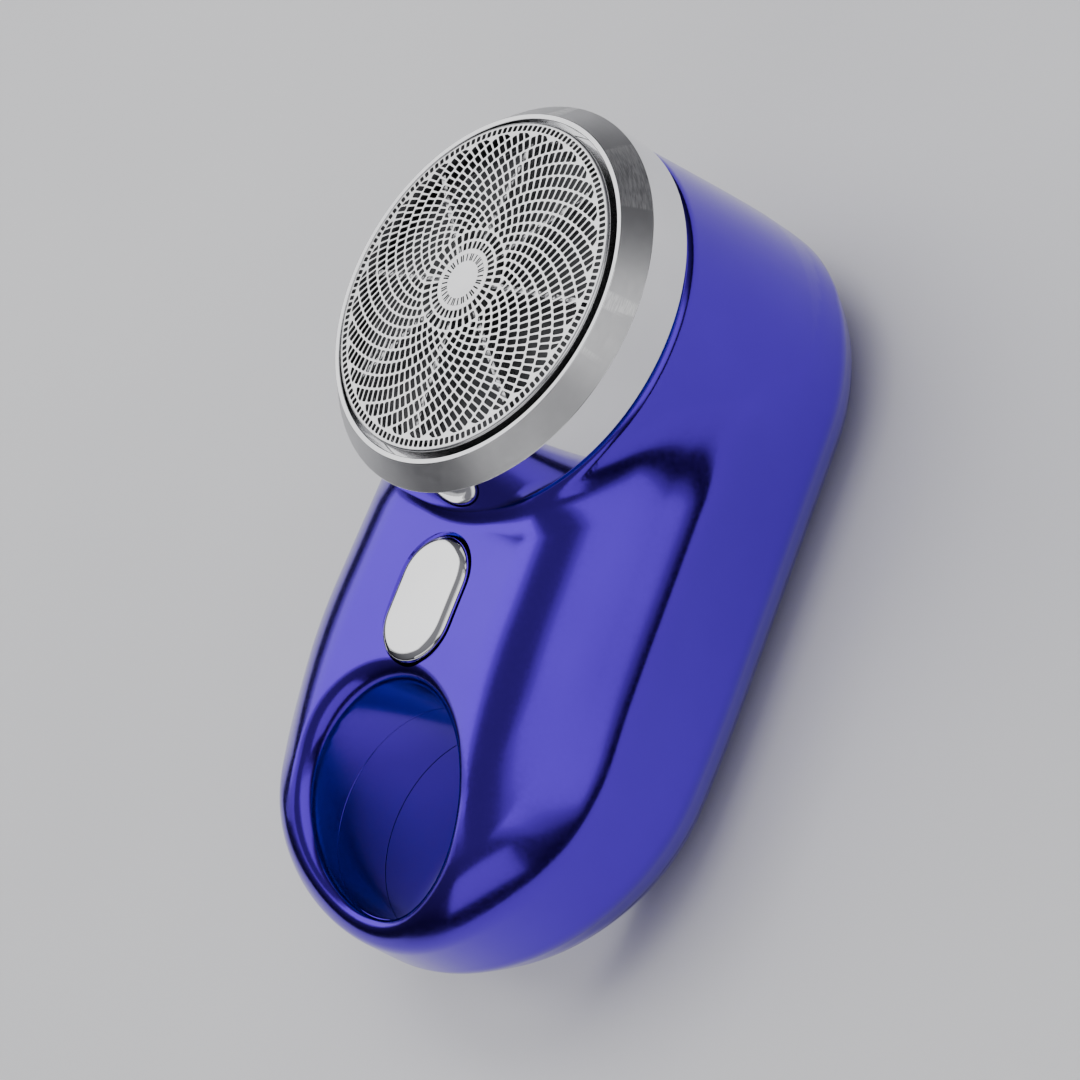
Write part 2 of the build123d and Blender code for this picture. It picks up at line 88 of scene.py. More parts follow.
# ---------------------------------------------------------------- dimensions of the skins
WALL = 2.0
BACK_ROUND = 9.5           # rounding between back and sides
PEBBLE_TOP_Z = 20.5        # level the shoulders are rounded from
PEBBLE_ROUND = 4.5
PEBBLE_BEND_Y = -20.0      # below here the shoulders drop with the facet
FACET_Z = 27.6
FACET_BEND_Y, FACET_BEND_R = -7.5, 61.0
BACK_BEND_Y, BACK_BEND_R = -6.0, 156.0
SPLIT = 4.0                # joint between the shells, inside the back
SPINE_TAIL_R = 16.7        # spine round the finger hole, at facet level
SPINE_HEAD_R, SPINE_HEAD_Y = 15.2, 12.0
SPINE_EDGE, RIM_EDGE = 6.0, 3.5
FLANK_SLOPE, HOLE_SLOPE = 0.50, 0.30
DRUM_LOW_Z, DRUM_TOP_R = 11.8, 19.3
BUTTON_HALF_W = 4.25
GRID = 0.42                # sampling of the skin
ARC_STEPS = 5              # segments in the rounding of a turned corner
DRUM_EDGE = 0.9
SPINE_VALLEY = 4.2         # fill between the spine and the shoulders
HOLE_FRONT_MOUTH, HOLE_BACK_MOUTH = 2.1, 3.2
BUTTON_GAP = 0.25
BUTTON_FOOT_Z = 25.7       # underside of the button's face
LINER_TUBE_R = FINGER_R + WALL + 0.4   # the back shell's part of the hole, up to the liner band
DRUM_MOUTH_R = 16.8
SEAM = 0.06                # half the gap at the joint between the shells


# ---------------------------------------------------------------- body surface
def ease(low, high, value):
    """0 below low, 1 above high, smooth between."""
    share = np.clip((value - low) / (high - low), 0, 1)
    return share * share * (3 - 2 * share)


def capsule(x, y, tail_r, head_r, tail_y, head_y):
    """Distance to two circles on the Y axis joined by their outer tangents."""
    span = head_y - tail_y
    lean = (tail_r - head_r) / span
    run = math.sqrt(1 - lean * lean)
    ax, ay = np.abs(x), y - tail_y
    along = run * ay - lean * ax
    side = run * ax + lean * ay - tail_r
    tail = np.hypot(ax, ay) - tail_r
    head = np.hypot(ax, ay - span) - head_r
    return np.where(along < 0, tail, np.where(along > run * span, head, side))


def bent(y, z, level, start, radius, side):
    """Distance from a plane at level that bends inward below start, positive outside."""
    arc = np.hypot(y - start, z - (level - side * radius)) - radius
    return np.where(y < start, arc, side * (z - level))


def round_and(a, b, radius):
    """Overlap of two shapes with a rounded edge."""
    u, v = np.maximum(a + radius, 0), np.maximum(b + radius, 0)
    return np.minimum(np.maximum(a, b), -radius) + np.hypot(u, v)


def soft_or(a, b, reach):
    """Union of two shapes with a filled corner."""
    reach = np.maximum(reach, 1e-6)
    share = np.maximum(reach - np.abs(a - b), 0) / reach
    return np.minimum(a, b) - share * share * reach / 4


def body_distance(p):
    """Distance to the outside of the whole body at points p, an array of N rows."""
    x, y, z = p[..., 0], p[..., 1], p[..., 2]
    plan = capsule(x, y, TAIL_R, HEAD_R, TAIL_Y, HEAD_Y)
    behind = bent(y, z, 0.0, BACK_BEND_Y, BACK_BEND_R, -1)
    # the upper sides step in under the drum so that the drum's own surface shows
    pebble = round_and(plan + 0.6 * ease(5.0, 15.0, y) * ease(8.0, 15.0, z), behind, BACK_ROUND)
    pebble = round_and(pebble, bent(y, z, PEBBLE_TOP_Z, PEBBLE_BEND_Y, FACET_BEND_R, 1), PEBBLE_ROUND)
    # spine with sloping sides that carries the facet
    facet = bent(y, z, FACET_Z, FACET_BEND_Y, FACET_BEND_R, 1)
    slope = FLANK_SLOPE + (HOLE_SLOPE - FLANK_SLOPE) * ease(12.0, 26.0, -y)
    side = capsule(x, y, SPINE_TAIL_R, SPINE_HEAD_R, FINGER_Y, SPINE_HEAD_Y)
    side = (side + slope * facet) / np.sqrt(1 + slope * slope)
    edge = SPINE_EDGE + (RIM_EDGE - SPINE_EDGE) * ease(24.0, 36.0, -y)
    spine = round_and(round_and(side, plan, 4.0), facet, edge)
    spine = np.maximum(spine, behind + BACK_ROUND)
    body = soft_or(pebble, spine, SPINE_VALLEY)
    # drum under the head ring
    radial = np.hypot(x, y - HEAD_Y)
    lean = (HEAD_R - DRUM_TOP_R) / (DRUM_TOP_Z - DRUM_LOW_Z)
    drum = radial - HEAD_R + lean * np.maximum(z - DRUM_LOW_Z, 0)
    drum = np.maximum(round_and(drum, z - DRUM_TOP_Z, DRUM_EDGE), behind + BACK_ROUND)
    # the fill at the foot of the drum is wider at the sides and fades out round the back of it
    reach = 1.6 + 1.9 * ease(4.0, 12.0, np.abs(x))
    reach = reach * (1 - ease(13.0, 19.0, y)) * ease(7.0, 13.0, z)
    body = soft_or(body, drum, reach)
    # nothing reaches past the outline
    body = -soft_or(-body, -plan, 0.4)
    # finger hole
    bore = np.hypot(x, y - FINGER_Y) - FINGER_R
    mouth = HOLE_FRONT_MOUTH + (HOLE_BACK_MOUTH - HOLE_FRONT_MOUTH) * ease(-16.0, -8.0, -z)
    return round_and(body, -bore, mouth)


def slope_of(distance, points, gap=0.02):
    """Gradient of a distance function."""
    parts = []
    for axis in range(3):
        move = np.zeros(3)
        move[axis] = gap
        parts.append((distance(points + move) - distance(points - move)) / (2 * gap))
    return np.stack(parts, axis=-1)


def net(distance, low, high, step):
    """Closed quad mesh of the level set distance = 0 (naive surface nets)."""
    axes = [np.arange(a, b + step, step) for a, b in zip(low, high)]
    points = np.stack(np.meshgrid(*axes, indexing="ij"), axis=-1)
    values = distance(points)
    inside = values < 0
    shape = [n - 1 for n in values.shape]

    def corner(array, i, j, k):
        return array[i:i + shape[0], j:j + shape[1], k:k + shape[2]]

    # one vertex in each cell that the surface crosses, at the mean of the crossings on its edges
    corners = [(i, j, k) for i in (0, 1) for j in (0, 1) for k in (0, 1)]
    count = sum(corner(inside, *c).astype(np.int8) for c in corners)
    active = (count > 0) & (count < 8)
    number = np.full(active.shape, -1, np.int64)
    number[active] = np.arange(active.sum())
    total = np.zeros((int(active.sum()), 3))
    hits = np.zeros(len(total))
    for axis in range(3):
        for c in corners:
            if c[axis]:
                continue
            d = list(c)
            d[axis] = 1
            va, vb = corner(values, *c)[active], corner(values, *d)[active]
            pa, pb = corner(points, *c)[active], corner(points, *d)[active]
            cross = (va < 0) != (vb < 0)
            share = np.where(cross, va / np.where(cross, va - vb, 1), 0)
            total += np.where(cross[:, None], pa + share[:, None] * (pb - pa), 0)
            hits += cross
    verts = total / hits[:, None]
    # one quad round each grid edge that the surface crosses
    faces = []
    for axis in range(3):
        a, b = [n for n in range(3) if n != axis]
        first = [slice(1, -1)] * 3
        first[axis] = slice(0, -1)
        second = list(first)
        second[axis] = slice(1, None)
        now, then = inside[tuple(first)], inside[tuple(second)]
        where = np.argwhere(now != then)
        flip = now[tuple(where.T)]
        cell = where.copy()
        cell[:, a] += 1
        cell[:, b] += 1
        quad = []
        for da, db in ((0, 0), (1, 0), (1, 1), (0, 1)):
            at = cell.copy()
            at[:, a] -= da
            at[:, b] -= db
            quad.append(number[tuple(at.T)])
        quad = np.stack(quad, axis=1)
        turn = flip if axis != 1 else ~flip
        quad[~turn] = quad[~turn][:, ::-1]
        faces.append(quad)
    return verts, np.concatenate(faces)


def skin_mesh():
    """The whole body as one hollow skin in millimetres, solid beyond the finger hole's axis."""
    def hollow(p):
        d = body_distance(p)
        return np.maximum(d, -np.maximum(d + WALL, FINGER_Y - 1.0 - p[..., 1]))
    low = np.minimum(front_low, back_low) - 1.5 * GRID
    high = np.maximum(front_high, back_high) + 1.5 * GRID
    # whole steps to each side of the middle plane keep the two halves alike
    side = GRID * (math.ceil(high[0] / GRID) + 0.5)
    low[0], high[0] = -side, side
    verts, faces = net(hollow, low, high, GRID)
    # slide the vertices onto the exact outer or inner surface
    level = np.where(body_distance(verts) > -WALL / 2, 0.0, -WALL)
    loose = (level < 0) & (np.abs(body_distance(verts) - level) > GRID / 2)
    for _ in range(5):
        away = np.where(loose, 0, body_distance(verts) - level)
        grade = slope_of(body_distance, verts)
        verts = verts - np.clip(away / (grade ** 2).sum(1).clip(0.2), -0.2, 0.2)[:, None] * grade
    return verts, faces


# ---------------------------------------------------------------- mesh helpers
def new_object(name, verts, faces, normals=None):
    """Mesh object from millimetre vertices; normals, if given, are one per face corner."""
    mesh = bpy.data.meshes.new(name)
    mesh.from_pydata((np.asarray(verts) * MM).tolist(), [], [list(map(int, f)) for f in faces])
    mesh.polygons.foreach_set("use_smooth", [True] * len(mesh.polygons))
    if normals is not None:
        mesh.normals_split_custom_set(normals)
    mesh.update()
    piece = bpy.data.objects.new(name, mesh)
    bpy.context.scene.collection.objects.link(piece)
    return piece


def lathed(corners, segments):
    """Closed ring from (radius, z, rounding) corners, with exact normals.

    Returns vertices, faces, one normal per face corner, the profile's points and each face's profile row.
    """
    points, starts, ends = [], [], []
    count = len(corners)
    area = 0.0
    for i in range(count):
        r0, z0, _ = corners[i]
        r1, z1, _ = corners[(i + 1) % count]
        area += r0 * z1 - r1 * z0
    sign = 1 if area > 0 else -1

    def direction(i):
        a, b = corners[i % count], corners[(i + 1) % count]
        d = np.array([b[0] - a[0], b[1] - a[1]])
        return d / np.hypot(*d)

    for i in range(count):
        here = np.array(corners[i][:2])
        before, after = direction(i - 1), direction(i)
        n0 = sign * np.array([before[1], -before[0]])
        n1 = sign * np.array([after[1], -after[0]])
        rounding = corners[i][2]
        cos_turn = np.clip(np.dot(before, after), -1, 1)
        if rounding <= 0 or cos_turn > 0.9999:
            points.append(here)
            starts.append(n1)
            ends.append(n0)
            continue
        tangent = rounding * math.tan(math.acos(cos_turn) / 2)
        turn = math.atan2(before[0] * after[1] - before[1] * after[0], cos_turn)
        start = here - before * tangent
        side = np.array([-before[1], before[0]]) * (1 if turn > 0 else -1)
        centre = start + side * rounding
        for k in range(ARC_STEPS + 1):
            angle = turn * k / ARC_STEPS
            c, s = math.cos(angle), math.sin(angle)
            offset = start - centre
            points.append(centre + np.array([c * offset[0] - s * offset[1], s * offset[0] + c * offset[1]]))
            normal = np.array([c * n0[0] - s * n0[1], s * n0[0] + c * n0[1]])
            starts.append(normal)
            ends.append(normal)
    rows = len(points)
    angles = np.arange(segments) * 2 * math.pi / segments
    ca, sa = np.cos(angles), np.sin(angles)
    verts = np.concatenate([np.stack([r * ca, r * sa, np.full(segments, z)], 1) for r, z in points])
    faces, normals, tags = [], [], []
    for i in range(rows):
        j = (i + 1) % rows
        for k in range(segments):
            m = (k + 1) % segments
            quad = [i * segments + k, i * segments + m, j * segments + m, j * segments + k]
            ns = [(starts[i], k), (starts[i], m), (ends[j], m), (ends[j], k)]
            if sign < 0:
                quad, ns = quad[::-1], ns[::-1]
            faces.append(quad)
            tags.append(i)
            normals += [(n[0] * ca[q], n[0] * sa[q], n[1]) for n, q in ns]
    return verts, faces, normals, points, tags


def lathe_piece(name, corners, y, segments=256):
    """Object from lathed, on an upright axis at y."""
    verts, faces, normals, points, tags = lathed(corners, segments)
    piece = new_object(name, verts + np.array([0, y, 0]), faces, normals)
    return piece, points, tags


def prism_object(outline, low, high, flare=0.0, flare_z=None):
    """Upright cutter on an outline; above flare_z it widens by flare per millimetre."""
    levels = [(low, 0.0)]
    if flare_z is not None:
        levels.append((flare_z, 0.0))
        levels.append((high, flare * (high - flare_z)))
    else:
        levels.append((high, 0.0))
    count = len(outline)
    verts = []
    for z, grow in levels:
        verts += [(x + nx * grow, y + ny * grow, z) for x, y, nx, ny in outline]
    faces = [list(range(count))[::-1], [count * (len(levels) - 1) + k for k in range(count)]]
    for row in range(len(levels) - 1):
        for k in range(count):
            m = (k + 1) % count
            faces.append([row * count + k, row * count + m, (row + 1) * count + m, (row + 1) * count + k])
    return new_object("cutter", verts, faces)


def stadium_outline(half_w, half_l, y, per_end=32):
    """Points and outward directions round a slug with round ends, long side along Y."""
    points = []
    for end, start in ((1, 0.0), (-1, math.pi)):
        for k in range(per_end + 1):
            angle = start + math.pi * k / per_end
            nx, ny = math.cos(angle), math.sin(angle)
            points.append((half_w * nx, y + end * (half_l - half_w) + half_w * ny, nx, ny))
    return points


def circle_outline(radius, y, count=192):
    """Points and outward directions round a circle."""
    turns = [2 * math.pi * k / count for k in range(count)]
    return [(radius * math.cos(a), y + radius * math.sin(a), math.cos(a), math.sin(a)) for a in turns]


def slab_object(inset):
    """Everything behind the joint between the shells."""
    top = []
    for k in range(61):
        y = BACK_BEND_Y - 42.0 * k / 60
        top.append((y, BACK_BEND_R - math.sqrt((BACK_BEND_R - inset) ** 2 - (y - BACK_BEND_Y) ** 2)))
    section = [(60.0, -30.0), (60.0, inset)] + top + [(top[-1][0], -30.0)]
    count = len(section)
    verts = [(x, y, z) for x in (-40.0, 40.0) for y, z in section]
    faces = [list(range(count))[::-1], [count + k for k in range(count)]]
    for k in range(count):
        m = (k + 1) % count
        faces.append([k, m, count + m, count + k])
    return new_object("cutter", verts, faces)


def boolean(piece, cutters, operation):
    """Applies exact booleans in turn and removes the cutters."""
    for cutter in cutters:
        change = piece.modifiers.new("cut", "BOOLEAN")
        change.operation = operation
        change.solver = "EXACT"
        change.object = cutter
    bpy.context.view_layer.update()
    graph = bpy.context.evaluated_depsgraph_get()
    mesh = bpy.data.meshes.new_from_object(piece.evaluated_get(graph))
    piece.modifiers.clear()
    piece.data = mesh
    for cutter in cutters:
        bpy.data.objects.remove(cutter)
    return piece


def shade_body(piece):
    """Normals from the body's own surface on moulded faces, flat ones on cut faces."""
    mesh = piece.data
    co = np.zeros(len(mesh.vertices) * 3)
    mesh.vertices.foreach_get("co", co)
    co = co.reshape(-1, 3) / MM
    grade = slope_of(body_distance, co)
    grade /= np.linalg.norm(grade, axis=1).clip(1e-9)[:, None]
    loop_vert = np.zeros(len(mesh.loops), np.int32)
    mesh.loops.foreach_get("vertex_index", loop_vert)
    normal = np.zeros(len(mesh.polygons) * 3)
    mesh.polygons.foreach_get("normal", normal)
    normal = normal.reshape(-1, 3)
    total = np.zeros(len(mesh.polygons), np.int32)
    mesh.polygons.foreach_get("loop_total", total)
    face_of = np.repeat(np.arange(len(mesh.polygons)), total)
    facing = (grade[loop_vert] * normal[face_of]).sum(1)
    smooth = np.sign(facing)[:, None] * grade[loop_vert]
    picked = np.where((np.abs(facing) > 0.65)[:, None], smooth, normal[face_of])
    mesh.polygons.foreach_set("use_smooth", [True] * len(mesh.polygons))
    mesh.normals_split_custom_set(picked.tolist())
    mesh.update()


# ---------------------------------------------------------------- materials
def link(tree, a, b):
    """Joins an output socket to an input socket."""
    tree.links.new(a, b)


def node(tree, kind, **values):
    """New shader node; values are set on its sockets, or else on its properties."""
    made = tree.nodes.new(kind)
    for key, value in values.items():
        if key in made.inputs:
            made.inputs[key].default_value = value
        else:
            setattr(made, key, value)
    return made


def grain(tree, coord, scale, detail=4.0, stretch=None):
    """Noise in object space; stretch squeezes it along axes for brushed metal."""
    if stretch is not None:
        mapping = node(tree, "ShaderNodeMapping")
        mapping.inputs["Scale"].default_value = stretch
        link(tree, coord, mapping.inputs["Vector"])
        coord = mapping.outputs["Vector"]
    noise = node(tree, "ShaderNodeTexNoise", Scale=scale, Detail=detail, Roughness=0.55)
    link(tree, coord, noise.inputs["Vector"])
    return noise.outputs["Fac"]


def spread(tree, value, low, high, start=0.3, stop=0.7):
    """Maps a factor to a range."""
    made = node(tree, "ShaderNodeMapRange")
    made.inputs["From Min"].default_value = start
    made.inputs["From Max"].default_value = stop
    made.inputs["To Min"].default_value = low
    made.inputs["To Max"].default_value = high
    link(tree, value, made.inputs["Value"])
    return made.outputs["Result"]


def two_tone(tree, value, first, second, start=0.3, stop=0.7):
    """Maps a factor to a colour between two."""
    ramp = node(tree, "ShaderNodeValToRGB")
    ramp.color_ramp.elements[0].position = start
    ramp.color_ramp.elements[0].color = (*first, 1)
    ramp.color_ramp.elements[1].position = stop
    ramp.color_ramp.elements[1].color = (*second, 1)
    link(tree, value, ramp.inputs["Fac"])
    return ramp.outputs["Color"]


def mixed(tree, factor, a, b):
    """Mix of two colours, each a tuple or a socket."""
    mix = node(tree, "ShaderNodeMix", data_type="RGBA")
    link(tree, factor, mix.inputs[0])
    for socket, value in ((mix.inputs[6], a), (mix.inputs[7], b)):
        if isinstance(value, tuple):
            socket.default_value = (*value, 1)
        else:
            link(tree, value, socket)
    return mix.outputs[2]


def finish_material(name, tones, metal, rough, tone_scale, fine_scale, bump, wear=None, coat=0.0,
                    stretch=None, pattern=None):
    """Procedural finish: two tones in soft patches, fine grain in roughness and bump, rubbed edges."""
    made = bpy.data.materials.new(name)
    made.use_nodes = True
    tree = made.node_tree
    shader = tree.nodes["Principled BSDF"]
    coord = node(tree, "ShaderNodeTexCoord").outputs["Object"]
    patches = grain(tree, coord, tone_scale, 3.0)
    fine = grain(tree, coord, fine_scale, 5.0, stretch)
    colour = two_tone(tree, patches, tones[0], tones[1])
    if pattern is not None:
        colour = pattern(tree, coord, colour)
    roughness = spread(tree, fine, rough[0], rough[1])
    if wear is not None:
        pointed = node(tree, "ShaderNodeNewGeometry").outputs["Pointiness"]
        edge = spread(tree, pointed, 0.0, 1.0, 0.53, 0.6)
        broken = node(tree, "ShaderNodeMath", operation="MULTIPLY")
        link(tree, edge, broken.inputs[0])
        link(tree, spread(tree, fine, 0.0, 1.0, 0.35, 0.6), broken.inputs[1])
        colour = mixed(tree, broken.outputs[0], colour, wear)
    link(tree, colour, shader.inputs["Base Color"])
    link(tree, roughness, shader.inputs["Roughness"])
    shader.inputs["Metallic"].default_value = metal
    shader.inputs["Coat Weight"].default_value = coat
    shader.inputs["Coat Roughness"].default_value = 0.05
    relief = node(tree, "ShaderNodeBump", Strength=bump[0], Distance=bump[1])
    link(tree, fine, relief.inputs["Height"])
    link(tree, relief.outputs["Normal"], shader.inputs["Normal"])
    return made


def board_tracks(tree, coord, colour):
    """Fine copper tracks under the solder mask."""
    bricks = node(tree, "ShaderNodeTexBrick", Scale=420.0)
    bricks.inputs["Mortar Size"].default_value = 0.06
    bricks.inputs["Color1"].default_value = (0, 0, 0, 1)
    bricks.inputs["Color2"].default_value = (0, 0, 0, 1)
    bricks.inputs["Mortar"].default_value = (1, 1, 1, 1)
    link(tree, coord, bricks.inputs["Vector"])
    return mixed(tree, bricks.outputs["Fac"], colour, (0.06, 0.24, 0.09))


FINISHES = {
    "violet_plating": dict(tones=((0.090, 0.022, 0.57), (0.099, 0.026, 0.62)), metal=1.0, rough=(0.15, 0.21),
                           tone_scale=60.0, fine_scale=2600.0, bump=(0.03, 0.00002), coat=0.12),
    "black_rubber": dict(tones=((0.012, 0.012, 0.013), (0.022, 0.022, 0.023)), metal=0.0, rough=(0.65, 0.85),
                         tone_scale=150.0, fine_scale=4000.0, bump=(0.3, 0.00004)),
    "zinc_steel": dict(tones=((0.50, 0.51, 0.54), (0.62, 0.62, 0.63)), metal=1.0, rough=(0.22, 0.38),
                       tone_scale=400.0, fine_scale=5000.0, bump=(0.15, 0.00002), wear=(0.75, 0.75, 0.76)),
    "black_plastic": dict(tones=((0.016, 0.016, 0.018), (0.026, 0.026, 0.028)), metal=0.0, rough=(0.38, 0.55),
                          tone_scale=120.0, fine_scale=6000.0, bump=(0.25, 0.00003),
                          wear=(0.06, 0.06, 0.065)),
    "ring_chrome": dict(tones=((0.84, 0.84, 0.86), (0.92, 0.92, 0.93)), metal=1.0, rough=(0.03, 0.07),
                        tone_scale=80.0, fine_scale=3000.0, bump=(0.02, 0.00001), wear=(0.97, 0.97, 0.98)),
    "ring_satin": dict(tones=((0.58, 0.58, 0.59), (0.68, 0.68, 0.69)), metal=1.0, rough=(0.34, 0.46),
                       tone_scale=200.0, fine_scale=900.0, bump=(0.10, 0.00002), wear=(0.9, 0.9, 0.9),
                       stretch=(1.0, 1.0, 14.0)),
    "foil_steel": dict(tones=((0.78, 0.78, 0.79), (0.88, 0.88, 0.89)), metal=1.0, rough=(0.16, 0.26),
                       tone_scale=260.0, fine_scale=5000.0, bump=(0.08, 0.00001), wear=(0.95, 0.95, 0.95)),
    "button_chrome": dict(tones=((0.90, 0.90, 0.91), (0.96, 0.96, 0.96)), metal=1.0, rough=(0.03, 0.07),
                          tone_scale=120.0, fine_scale=3000.0, bump=(0.02, 0.00001), wear=(0.98, 0.98, 0.98)),
    "grey_plastic": dict(tones=((0.030, 0.031, 0.034), (0.045, 0.046, 0.050)), metal=0.0, rough=(0.40, 0.58),
                         tone_scale=120.0, fine_scale=5000.0, bump=(0.25, 0.00003), wear=(0.09, 0.09, 0.095)),
    "blade_steel": dict(tones=((0.10, 0.10, 0.11), (0.17, 0.17, 0.18)), metal=1.0, rough=(0.18, 0.32),
                        tone_scale=300.0, fine_scale=1500.0, bump=(0.15, 0.00002), wear=(0.85, 0.85, 0.86),
                        stretch=(1.0, 1.0, 10.0)),
    "spring_steel": dict(tones=((0.45, 0.45, 0.47), (0.58, 0.58, 0.60)), metal=1.0, rough=(0.22, 0.36),
                         tone_scale=500.0, fine_scale=5000.0, bump=(0.15, 0.00002)),
    "white_plastic": dict(tones=((0.70, 0.70, 0.67), (0.80, 0.80, 0.77)), metal=0.0, rough=(0.35, 0.5),
                          tone_scale=150.0, fine_scale=5000.0, bump=(0.2, 0.00003), wear=(0.88, 0.88, 0.86)),
    "can_steel": dict(tones=((0.48, 0.49, 0.51), (0.60, 0.61, 0.63)), metal=1.0, rough=(0.25, 0.42),
                      tone_scale=200.0, fine_scale=1200.0, bump=(0.12, 0.00002), wear=(0.8, 0.8, 0.8),
                      stretch=(1.0, 1.0, 9.0)),
    "ferrite": dict(tones=((0.035, 0.034, 0.034), (0.06, 0.058, 0.056)), metal=0.0, rough=(0.55, 0.8),
                    tone_scale=500.0, fine_scale=4000.0, bump=(0.5, 0.00005)),
    "brass_tab": dict(tones=((0.62, 0.44, 0.16), (0.76, 0.56, 0.24)), metal=1.0, rough=(0.22, 0.38),
                      tone_scale=400.0, fine_scale=4000.0, bump=(0.15, 0.00002), wear=(0.9, 0.72, 0.38)),
    "board_green": dict(tones=((0.010, 0.075, 0.03), (0.016, 0.11, 0.045)), metal=0.0, rough=(0.25, 0.4),
                        tone_scale=300.0, fine_scale=5000.0, bump=(0.1, 0.00002), coat=0.4,
                        pattern=board_tracks),
    "chip_epoxy": dict(tones=((0.012, 0.012, 0.013), (0.025, 0.025, 0.026)), metal=0.0, rough=(0.45, 0.65),
                       tone_scale=600.0, fine_scale=8000.0, bump=(0.3, 0.00002), wear=(0.05, 0.05, 0.05)),
    "cell_pouch": dict(tones=((0.52, 0.53, 0.55), (0.66, 0.67, 0.69)), metal=0.85, rough=(0.3, 0.48),
                       tone_scale=220.0, fine_scale=900.0, bump=(0.35, 0.00006), wear=(0.8, 0.8, 0.8)),
    "nickel": dict(tones=((0.58, 0.56, 0.52), (0.70, 0.68, 0.63)), metal=1.0, rough=(0.2, 0.35),
                   tone_scale=500.0, fine_scale=5000.0, bump=(0.15, 0.00002)),
    "grey_foam": dict(tones=((0.16, 0.16, 0.165), (0.24, 0.24, 0.245)), metal=0.0, rough=(0.85, 0.98),
                      tone_scale=900.0, fine_scale=3500.0, bump=(0.9, 0.00015)),
    "socket_steel": dict(tones=((0.58, 0.58, 0.60), (0.70, 0.70, 0.72)), metal=1.0, rough=(0.15, 0.3),
                         tone_scale=400.0, fine_scale=4000.0, bump=(0.1, 0.00002), wear=(0.85, 0.85, 0.86)),
    "lead_red": dict(tones=((0.42, 0.02, 0.015), (0.55, 0.035, 0.025)), metal=0.0, rough=(0.4, 0.55),
                     tone_scale=300.0, fine_scale=5000.0, bump=(0.15, 0.00002)),
    "lead_black": dict(tones=((0.012, 0.012, 0.012), (0.025, 0.025, 0.025)), metal=0.0, rough=(0.4, 0.55),
                       tone_scale=300.0, fine_scale=5000.0, bump=(0.15, 0.00002)),
    "lead_white": dict(tones=((0.62, 0.62, 0.60), (0.75, 0.75, 0.73)), metal=0.0, rough=(0.4, 0.55),
                       tone_scale=300.0, fine_scale=5000.0, bump=(0.15, 0.00002)),
}
MATERIALS = {name: finish_material(name + "_finish", **values) for name, values in FINISHES.items()}


def dress(piece, slot, body, *nodes):
    """Gives a new piece its finish, body and the CAD nodes it stands for."""
    piece.data.materials.clear()
    piece.data.materials.append(MATERIALS[slot])
    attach(piece, body)
    if nodes:
        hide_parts(*nodes)
    return piece


# ---------------------------------------------------------------- camera
RIGHT = Vector((0.6557, 0.3691, -0.6589)).normalized()
TOWARD = Vector((0.7447, -0.1647, 0.6479)).normalized()
UP = TOWARD.cross(RIGHT)
CAMERA_REACH = 0.480
anchor = Vector((0, HEAD_Y, RING_BASE_Z)) * MM
eye = anchor + RIGHT * 0.0011084 - UP * 0.0204527 + TOWARD * CAMERA_REACH
camera_data = bpy.data.cameras.new("camera")
camera_data.lens = 172.6
camera_data.sensor_width = 36.0
camera_data.clip_start = 0.01
camera_data.clip_end = 20.0
camera = bpy.data.objects.new("camera", camera_data)
bpy.context.scene.collection.objects.link(camera)
camera.matrix_world = Matrix((
    (RIGHT.x, UP.x, TOWARD.x, eye.x),
    (RIGHT.y, UP.y, TOWARD.y, eye.y),
    (RIGHT.z, UP.z, TOWARD.z, eye.z),
    (0, 0, 0, 1)))
bpy.context.scene.camera = camera

# ---------------------------------------------------------------- floor and light
FLOOR_R, FLOOR_ROWS, FLOOR_TURNS = 700.0, 12, 64
floor_verts, floor_faces = [(0, 0, 0)], []
for row in range(1, FLOOR_ROWS + 1):
    for turn in range(FLOOR_TURNS):
        angle = 2 * math.pi * turn / FLOOR_TURNS
        reach = FLOOR_R * (row / FLOOR_ROWS) ** 1.5
        floor_verts.append((reach * math.cos(angle), reach * math.sin(angle), 0.0))
for turn in range(FLOOR_TURNS):
    floor_faces.append([0, 1 + turn, 1 + (turn + 1) % FLOOR_TURNS])
for row in range(FLOOR_ROWS - 1):
    for turn in range(FLOOR_TURNS):
        a, b = 1 + row * FLOOR_TURNS + turn, 1 + row * FLOOR_TURNS + (turn + 1) % FLOOR_TURNS
        floor_faces.append([a, a + FLOOR_TURNS, b + FLOOR_TURNS, b])
floor = new_object("floor", floor_verts, floor_faces)
floor.location.z = -0.0001
floor.data.materials.append(finish_material(
    "floor_finish", ((0.66, 0.66, 0.68), (0.72, 0.72, 0.73)), 0.0, (0.55, 0.7), 9.0, 900.0, (0.05, 0.0002)))


def softbox(name, direction, distance, width, height, radiance, glossy=True):
    """Area light that faces the shaver from a direction."""
    data = bpy.data.lights.new(name, "AREA")
    data.shape = "RECTANGLE"
    data.size = width
    data.size_y = height
    data.energy = radiance * math.pi * width * height
    lamp = bpy.data.objects.new(name, data)
    aim = Vector(direction).normalized()
    lamp.location = Vector((0, 0, 0.018)) + aim * distance
    lamp.rotation_mode = "QUATERNION"
    lamp.rotation_quaternion = aim.to_track_quat("Z", "Y")
    lamp.visible_camera = False
    lamp.visible_glossy = glossy
    bpy.context.scene.collection.objects.link(lamp)
    return lamp


